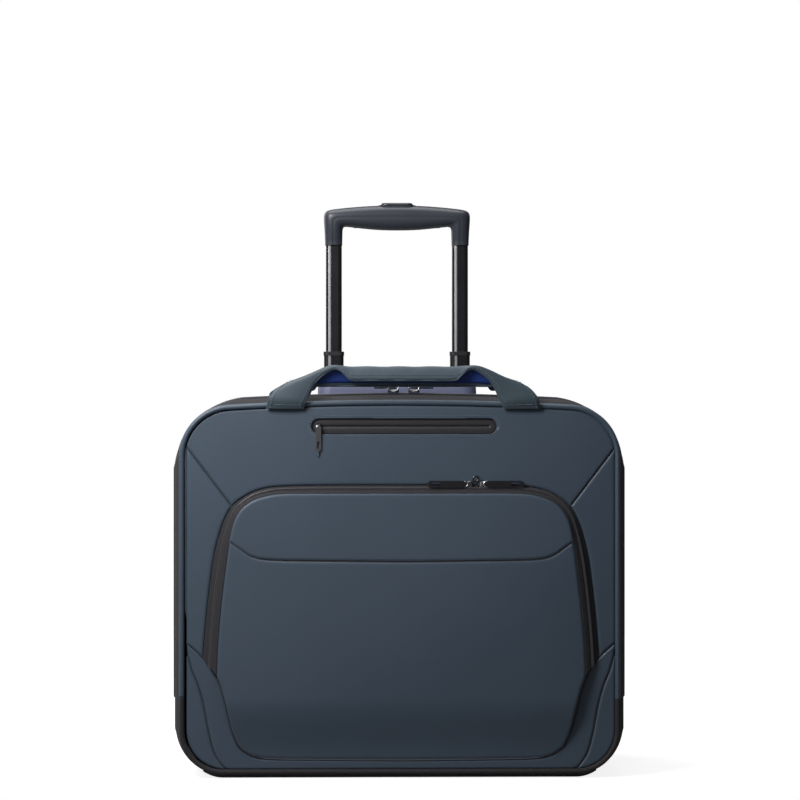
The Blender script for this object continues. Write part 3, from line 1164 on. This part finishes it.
divider_low, divider_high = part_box("laptop_divider")
div_bottom = np.array([(-0.198, 0.016), (-0.172, 0.0095), (0, 0.009), (0.172, 0.0095), (0.198, 0.016)])
div_side = np.array([(0.198, 0.016), (0.2125, 0.048), (0.2135, 0.15), (0.2125, 0.24),
                     (0.202, divider_high[2])])
div_top = np.array([(-0.202, divider_high[2]), (0, divider_high[2] + 0.001), (0.202, divider_high[2])])
divider_y = (divider_low[1] + divider_high[1]) / 2
pad("laptop_divider_pad", smooth_curve(div_bottom, 120), smooth_curve(div_top, 60),
    smooth_curve(div_side * (-1, 1), 90), smooth_curve(div_side, 90), (80, 50), divider_y,
    (divider_high[1] - divider_low[1]) / 2, "case", blue_lining)
div_edge = smooth_curve(np.vstack([div_side * (-1, 1), div_top[1:-1], div_side[::-1]]), 300)
edge_path = np.stack([div_edge[:, 0], np.full(300, divider_y), div_edge[:, 1]], axis=1)
edge_up = np.stack([-np.gradient(edge_path[:, 2]), np.zeros(300), np.gradient(edge_path[:, 0])], axis=1)
sweep("divider_binding", edge_path, edge_up / np.linalg.norm(edge_up, axis=1)[:, None],
      circle(1.7 * MM, 10, 0.7), tape_brown, "case")

strap_low, strap_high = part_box("laptop_strap")
strap_line = smooth_curve(np.array([
    (strap_low[1] - 0.4 * MM, strap_low[2]), (strap_low[1] - 0.6 * MM, strap_low[2] + 14 * MM),
    (strap_low[1] + 0.4 * MM, strap_high[2] - 1 * MM), (strap_low[1] + 6 * MM, strap_high[2] + 0.6 * MM),
    (strap_high[1] - 9 * MM, strap_high[2] + 0.4 * MM), (strap_high[1] - 2.4 * MM, strap_high[2] - 2 * MM),
    (strap_high[1] - 1.6 * MM, strap_low[2] + 5 * MM)]), 70)
strap_x = np.array([-20, -19, -8, 8, 19, 20]) * MM
strap_grid = np.stack([np.stack([np.full(70, x), strap_line[:, 0], strap_line[:, 1]], axis=1)
                       for x in strap_x], axis=1)
thicken(grid_piece("laptop_hold_strap", strap_grid, slate_strap, "case", toward=(0, -0.6, 1)), 1.4 * MM, 0.0)

# ---------------------------------------------------------------- carry handles
HANDLE_MID = 3.4 * MM  # both handles sit a little to the right
# Half of the strap in millimetres, (x, z, y) from the middle of the grip down to the foot.
NEAR_EDGE = [(0, 385.8, -99.6), (30, 385.8, -99.6), (49, 386.0, -99.5), (54.5, 389.6, -99.2), (59.5, 394.6, -98.6),
             (66, 396.8, -97.8), (73, 394.2, -97.2), (82.5, 386.8, -96.6), (88, 379, -96.2), (92, 370, -95.8),
             (95.5, 364, -95.6), (97.0, 358.0, -93.4)]
FOLD = [(0, 398.6, -93.5), (30, 398.6, -93.5), (50, 398.7, -93.5), (57, 398.9, -93.5), (62, 399.0, -93.5),
        (70, 398.9, -93.6), (79, 396.8, -93.9), (92, 391.0, -94.6), (103, 384.0, -95.4), (109.5, 374.5, -95.9),
        (113.5, 366, -96.2), (114.8, 358.0, -93.8)]
FAR_EDGE = [(0, 380.4, -87.4), (30, 380.4, -87.4), (50, 380.4, -87.4), (60, 380.4, -87.4), (70, 380.4, -87.4),
            (82, 380.4, -87.6), (96, 381.6, -88.6), (109, 384.4, -90.8), (118.5, 380.6, -93.4), (125.6, 374, -95.4),
            (130.0, 367, -95.9), (132.0, 358.0, -93.4)]


def whole_strap(points, count=150):
    """Both halves of a strap line as points in space, mirrored about the middle of the handles."""
    half = smooth_curve(np.array(points)[:, [0, 2, 1]] * MM, count)
    both = join((half * (-1, 1, 1))[::-1], half)
    return both + (HANDLE_MID, 0, 0)


def strap_surface(near, fold, far, columns=22):
    """Strap between two edges and a middle line: a parabola through the three at every place along."""
    t = np.linspace(0, 1, columns)[None, :, None]
    near, fold, far = near[:, None], fold[:, None], far[:, None]
    return near * (1 - t) * (1 - 2 * t) + fold * 4 * t * (1 - t) + far * t * (2 * t - 1)


def surface_normals(grid):
    """Unit normals of a grid of points, from its steps along and across."""
    normal = np.cross(np.gradient(grid, axis=0), np.gradient(grid, axis=1))
    return normal / (np.linalg.norm(normal, axis=-1, keepdims=True) + 1e-12)


def matched(near, fold, far, count=300):
    """Three strap lines resampled together by the length of the middle one."""
    length = arc_length(fold)
    spots = np.linspace(0, length[-1], count)
    return [np.stack([np.interp(spots, length, line[:, k]) for k in range(3)], axis=1)
            for line in (near, fold, far)]


def handle(name, lines, feet_out):
    """Soft carry handle: outer fabric, blue lining inside the fold, hemmed edges and edge stitching."""
    grid = strap_surface(*matched(*lines))
    normal = surface_normals(grid)
    if normal[150, 11, 2] < 0:
        normal = -normal
    across = np.linspace(-1, 1, grid.shape[1])
    crown = 0.55 * MM * (1 - across**4)
    outer = grid + normal * crown[None, :, None]
    ripple = 0.25 * MM * np.sin(np.linspace(0, 55, 300))[:, None] * np.cos(across * 2.2)[None]
    outer += normal * ripple[..., None]
    made = [thicken(grid_piece(f"{name}_strap_cloth", outer, slate_strap, None, toward=(0, -0.4, 1)), 1.7 * MM)]
    inner = grid - normal * 1.9 * MM
    inner = inner[:, 1:-1]
    made.append(thicken(grid_piece(f"{name}_strap_lining", inner, blue_lining, None, toward=(0, 0.4, -1)),
                        0.8 * MM))
    for edge, column in (("near", 0), ("far", -1)):
        rail = grid[:, column] - normal[:, column] * 0.9 * MM
        made.append(sweep(f"{name}_{edge}_hem", resample(rail, 260), (0, -0.5, 0.6), circle(0.95 * MM, 10),
                          slate_strap, None))
        inset = 2 if column == 0 else -3
        line = grid[:, inset] + normal[:, inset] * 0.62 * MM
        made.append(beads(f"{name}_{edge}_stitches", line, normal[:, inset], 3.4 * MM,
                          (2.5 * MM, 0.55 * MM, 0.3 * MM), thread_light, None))
    for foot, rows in (("left", slice(2, 26)), ("right", slice(274, 298))):
        low = 3 if foot == "left" else 20
        box_line = grid[rows][low, 2:-2] + normal[rows][low, 2:-2] * 0.7 * MM
        made.append(beads(f"{name}_{foot}_foot_stitches", box_line, feet_out, 3.2 * MM,
                          (2.4 * MM, 0.55 * MM, 0.3 * MM), thread_light, None))
    for piece in made:
        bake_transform(piece)


front_lines = [whole_strap(points) for points in (NEAR_EDGE, FOLD, FAR_EDGE)]
handle("front_handle", front_lines, FRONT)

REAR_Y = -31.0


def rear_half(points, lower, top_x):
    """Rear strap line: the front one mirrored front to back, its foot laid flat on the top of the case."""
    moved = [(x, z - lower, REAR_Y - (y + 93.5)) for x, z, y in points[:-3]]
    top = top_z / MM - CROWN / MM * (top_x / 218.5) ** 2
    return moved + [(top_x - 2.5, top + 5.2, REAR_Y + 1.5), (top_x - 0.8, top + 1.9, REAR_Y + 6),
                    (top_x, top + 1.6, REAR_Y + 28)]


rear_lines = [whole_strap(rear_half(points, lower, x)) for points, lower, x in
              ((NEAR_EDGE, 2.2, 97.2), (FOLD, 2.2, 114.8), (FAR_EDGE, -0.6, 132.2))]
handle("rear_handle", rear_lines, (0, 0, 1))

# ---------------------------------------------------------------- trolley grip
grip_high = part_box("grip_upper")[1]
# Half outlines in millimetres, (x, z), matched point for point from the foot of the socket to the middle.
GRIP_OUTER = [(74.0, 526), (74.1, 530), (74.3, 535), (74.6, 541), (75.0, 547), (75.3, 553), (74.9, 557.8),
              (72.6, 561.0), (67, 562.8), (58, 564.0), (46, 565.2), (30, 566.4), (14, 567.05), (0, 567.2)]
GRIP_INNER = [(56.4, 526), (56.3, 530), (56.2, 534), (56.1, 538), (56.0, 541), (55.6, 543.3), (54.7, 544.7),
              (52.9, 545.2), (49.5, 545.0), (42, 544.2), (34, 543.3), (22, 542.2), (10, 541.7), (0, 541.6)]
GRIP_HALF_DEPTH = [8.2, 8.6, 9.6, 10.8, 11.8, 12.5, 12.9, 13.2, 13.4] + 5 * [13.5]  # at the same points


def whole_grip(points, count=130):
    """Outline of the grip over both halves, evenly spaced between its matched points."""
    half = smooth_matched(np.array(points) * MM, count)
    return join((half * (-1, 1)), half[::-1])


def smooth_matched(points, count):
    """Catmull-Rom curve at even steps of its parameter, so that matched lines stay matched."""
    ends = np.vstack([2 * points[0] - points[1], points, 2 * points[-1] - points[-2]])
    share = np.linspace(0, len(points) - 1, count)
    cell = np.minimum(share.astype(int), len(points) - 2)
    t = (share - cell)[:, None]
    p0, p1, p2, p3 = (ends[cell + k] for k in range(4))
    return 0.5 * (2 * p1 + (p2 - p0) * t + (2 * p0 - 5 * p1 + 4 * p2 - p3) * t**2
                  + (3 * p1 - p0 - 3 * p2 + p3) * t**3)


outer_line, inner_line_grip = whole_grip(GRIP_OUTER), whole_grip(GRIP_INNER)
depth_line = np.abs(whole_grip([(depth, 0) for depth in GRIP_HALF_DEPTH])[:, :1])
grip_turn = np.linspace(0, 2 * math.pi, 96, endpoint=False)
POWER = 2 / 2.7
ring_across = np.sign(np.cos(grip_turn)) * np.abs(np.cos(grip_turn)) ** POWER
ring_depth = np.sign(np.sin(grip_turn)) * np.abs(np.sin(grip_turn)) ** POWER
centre_line = 0.5 * (outer_line + inner_line_grip)
reach_line = 0.5 * (outer_line - inner_line_grip)
grip_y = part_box("inner_tube_left")[0][1] / 2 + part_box("inner_tube_left")[1][1] / 2
section = centre_line[:, None] + reach_line[:, None] * ring_across[None, :, None]
groove = np.exp(-((ring_across / 0.045) ** 2))[None] * 0.4 * MM
deep = np.sign(ring_depth)[None] * (depth_line * np.abs(ring_depth)[None] - groove)
grip_grid = np.stack([section[..., 0], grip_y + deep, section[..., 1]], axis=-1)
hubs = np.array([(centre_line[end, 0], grip_y, centre_line[end, 1]) for end in (0, -1)])
rows, columns = grip_grid.shape[:2]
grip_points = np.vstack([grip_grid.reshape(-1, 3), np.repeat(hubs, columns, axis=0)])
caps = np.arange(2 * columns).reshape(2, columns) + rows * columns
body_index = np.arange(rows * columns).reshape(rows, columns)
grip_index = np.vstack([caps[:1], body_index, caps[1:]])
wrapped = np.hstack([grip_index, grip_index[:, :1]])
grip_faces = np.stack([wrapped[:-1, :-1], wrapped[:-1, 1:], wrapped[1:, 1:], wrapped[1:, :-1]], axis=-1)
grip_faces = grip_faces.reshape(-1, 4)
flat_normals, flat_centres = quad_normals(grip_points, grip_faces)
if (flat_normals[:, 1] * (flat_centres[:, 1] - grip_y)).sum() < 0:
    grip_faces = grip_faces[:, ::-1]
new_piece("trolley_grip_shell", grip_points, grip_faces, grip_plastic, "trolley_grip")

button_low, button_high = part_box("push_button")
rim_outer = round_box(button_high[0] + 2.0 * MM, (button_high[1] - button_low[1]) / 2 + 1.8 * MM, 7.5 * MM,
                      grip_y)
rim_path = np.concatenate([rim_outer, np.full((len(rim_outer), 1), grip_high[2] - 0.35 * MM)], axis=1)
rim_path[:, 2] -= (rim_path[:, 0] / 0.075) ** 2 * 1.5 * MM
sweep("button_rim", looped(rim_path), (0, 0, 1), circle(0.9 * MM, 10, 0.6), button_plastic, "trolley_grip")

# ---------------------------------------------------------------- zip sliders, rings and pulls
def loop_of_wire(name, centre, radius, wire, plane, material, body, oval=1.0):
    """Ring of round wire about a centre, in the plane of two unit directions."""
    turn = np.linspace(0, 2 * math.pi, 41)
    first, second = (np.asarray(axis, dtype=float) for axis in plane)
    path = np.asarray(centre) + radius * (np.cos(turn)[:, None] * first + oval * np.sin(turn)[:, None] * second)
    return sweep(name, path, np.cross(first, second), circle(wire, 10), material, body)


def slider_shell(name, box, front_axis, run_axis, material, body):
    """Zip slider: a wedge-waisted top plate with rounded rims, its domed crown and a bridge for the pull.

    The outline in the plate's plane is half * (1 - pinch * cos^2) along the run, and the height is a
    superellipse dome of power 4.
    """
    low, high = np.asarray(box[0]), np.asarray(box[1])
    middle, half = (low + high) / 2, (high - low) / 2
    others = [k for k in range(3) if k not in (front_axis, run_axis)]
    across_axis = others[0]
    turn = np.linspace(0, 2 * math.pi, 48, endpoint=False)
    rise = np.array([-1, -1, -0.8, 0.0, 0.55, 0.86, 1.0, 1.0])
    shrink = np.array([0.0, 0.9, 1.0, 1.0, 0.96, 0.8, 0.5, 0.0])
    cos, sin = np.cos(turn), np.sin(turn)
    along = np.sign(cos) * np.abs(cos) ** 0.55
    sideways = np.sign(sin) * np.abs(sin) ** 0.55 * (0.86 + 0.14 * along)
    points = np.zeros((len(rise), 48, 3))
    points[..., run_axis] = middle[run_axis] + half[run_axis] * shrink[:, None] * along[None]
    points[..., across_axis] = middle[across_axis] + half[across_axis] * shrink[:, None] * sideways[None]
    side = -1 if front_axis == 1 else 1
    points[..., front_axis] = middle[front_axis] + side * half[front_axis] * rise[:, None]
    piece = grid_piece(name, points, material, body, wrap_columns=True)
    return piece


for side in ("left", "right"):
    letter = side[0]
    body = f"pocket_slider_{letter}"
    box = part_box(f"pocket_slider_{side}")
    slider_shell(f"pocket_slider_cast_{side}", box, 1, 0, pewter, body)
    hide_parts(f"pocket_slider_{side}")
    x = (box[0][0] + box[1][0]) / 2 + (-3.0 * MM if side == "left" else 3.0 * MM)
    loop_of_wire(f"pocket_slider_bail_{side}", (x, box[0][1] - 0.9 * MM, (box[0][2] + box[1][2]) / 2 + 0.7 * MM),
                 2.5 * MM, 0.8 * MM, ((1, 0, 0), (0, 0, 1)), bright_metal, body)

    body = f"main_slider_{letter}"
    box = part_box(f"main_slider_{side}")
    slider_shell(f"main_slider_cast_{side}", box, 2, 0, pewter, body)
    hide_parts(f"main_slider_{side}")
    x = (box[0][0] + box[1][0]) / 2
    loop_of_wire(f"main_slider_ring_{side}", (x, seam_y - 4.2 * MM, box[1][2] + 1.4 * MM), 4.9 * MM, 0.85 * MM,
                 ((1, 0, 0), (0, 0.25, 0.97)), bright_metal, body, 0.8)
loop_of_wire("pocket_lock_ring", (73.2 * MM, panel_y - 8.6 * MM, 290.3 * MM), 2.6 * MM, 1.0 * MM,
             ((1, 0, 0), (0, 0, 1)), gunmetal, "pocket_slider_l")

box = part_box("top_pocket_slider")
slider_shell("top_slider_cast", box, 1, 2, gunmetal, "top_slider")
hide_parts("top_pocket_slider")
pull_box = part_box("top_pocket_pull")
pull_x = (pull_box[0][0] + pull_box[1][0]) / 2
tip_path = np.stack([np.full(12, pull_x), np.full(12, pull_box[0][1] + 0.6 * MM),
                     np.linspace(pull_box[0][2] + 1 * MM, pull_box[0][2] - 4.5 * MM, 12)], axis=1)
sweep("top_pull_tab", tip_path, FRONT, circle(1.1 * MM, 10, 0.6), slate_strap, "top_pull")
loop_of_wire("top_slider_bail", (pull_x, box[0][1] - 0.2 * MM, pull_box[1][2] - 1.6 * MM), 2.2 * MM, 0.7 * MM,
             ((1, 0, 0), (0, 0, 1)), bright_metal, "top_slider")

# ---------------------------------------------------------------- which nodes the new pieces stand for
stands_for = {
    "upper_panel": ("lid_shell",),
    "front_piping_cord": ("front_piping",),
    "main_zip_lid_tape": ("main_zip_front",),
    "main_zip_case_tape": ("main_zip_rear",),
    "top_pocket_tape": ("top_pocket_zip", "top_pocket_bag"),
    "pocket_zip_lid_tape": ("pocket_zip_outer",),
    "lid_inner_lining": ("lid_lining",),
    "pocket_front": ("pocket_panel",),
    "pocket_yoke_panel": ("pocket_yoke",),
    "case_gusset": ("rear_shell",),
    "rear_piping_arch": ("rear_piping",),
    "bottom_edge_binding": ("bottom_binding",),
    "trolley_hood_pad": ("trolley_hood",),
    "laptop_divider_pad": ("laptop_divider",),
    "laptop_hold_strap": ("laptop_strap",),
    "front_handle_strap_cloth": ("front_handle_strap", "front_handle_feet"),
    "front_handle_strap_lining": ("front_handle_lining",),
    "rear_handle_strap_cloth": ("rear_handle_strap", "rear_handle_feet"),
    "rear_handle_strap_lining": ("rear_handle_lining",),
    "trolley_grip_shell": ("grip_upper", "grip_lower"),
}
for piece, replaced in stands_for.items():
    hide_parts(*replaced)

# ---------------------------------------------------------------- finishes of the carried-over nodes
finishes = {
    black_tube: ("outer_tube_left", "outer_tube_right", "middle_tube_left", "middle_tube_right", "inner_tube_left",
                 "inner_tube_right"),
    black_plastic: ("middle_collars", "trolley_bezel", "foot_bracket", "base_tray", "wheel_housing_left",
                    "wheel_housing_right", "lock_blocks", "back_board"),
    button_plastic: ("push_button",),
    tyre_rubber: ("tyre_left", "tyre_right"),
    hub_plastic: ("wheel_hub_left", "wheel_hub_right"),
    steel: ("wheel_axles", "bearings_left", "bearings_right", "case_screws", "grip_screws", "wire_frame"),
    rod_metal: ("pull_rods",),
    gunmetal: ("pocket_pull_left", "pocket_pull_right", "main_pull_left", "main_pull_right"),
    pewter: ("top_pocket_pull",),
}
for finish, names in finishes.items():
    for node in names:
        for slot in bpy.data.objects[node].material_slots:
            slot.material = finish

# ---------------------------------------------------------------- floor
floor_paint = Surface("floor_paper", colour(150, 150, 152), 0.85)
floor_paint.bump(floor_paint.noise(60), 0.02 * MM)
glow = floor_paint.node("ShaderNodeMapRange")
glow.inputs["To Max"].default_value = 0.86
floor_paint.link(floor_paint.node("ShaderNodeLightPath").outputs["Is Camera Ray"], glow.inputs["Value"])
floor_paint.shader.inputs["Emission Color"].default_value = (1, 1, 1, 1)
floor_paint.link(glow.outputs["Result"], floor_paint.shader.inputs["Emission Strength"])
FLOOR_R, FLOOR_FRONT, FLOOR_SIDES = 1.5, -0.12, 96
# A disc cut off in front of the case: the open lid swings below floor level and would be hidden.
floor_turn = np.linspace(0, 2 * math.pi, FLOOR_SIDES, endpoint=False)
floor_rim = np.stack([FLOOR_R * np.cos(floor_turn), np.maximum(FLOOR_R * np.sin(floor_turn), FLOOR_FRONT),
                      0 * floor_turn], axis=1)
floor_edge = np.arange(1, FLOOR_SIDES + 1)
floor_fan = np.stack([0 * floor_edge, floor_edge, np.roll(floor_edge, -1)], axis=1)
floor = new_piece("floor", np.vstack([[(0, 0, 0)], floor_rim]), floor_fan, floor_paint.material)
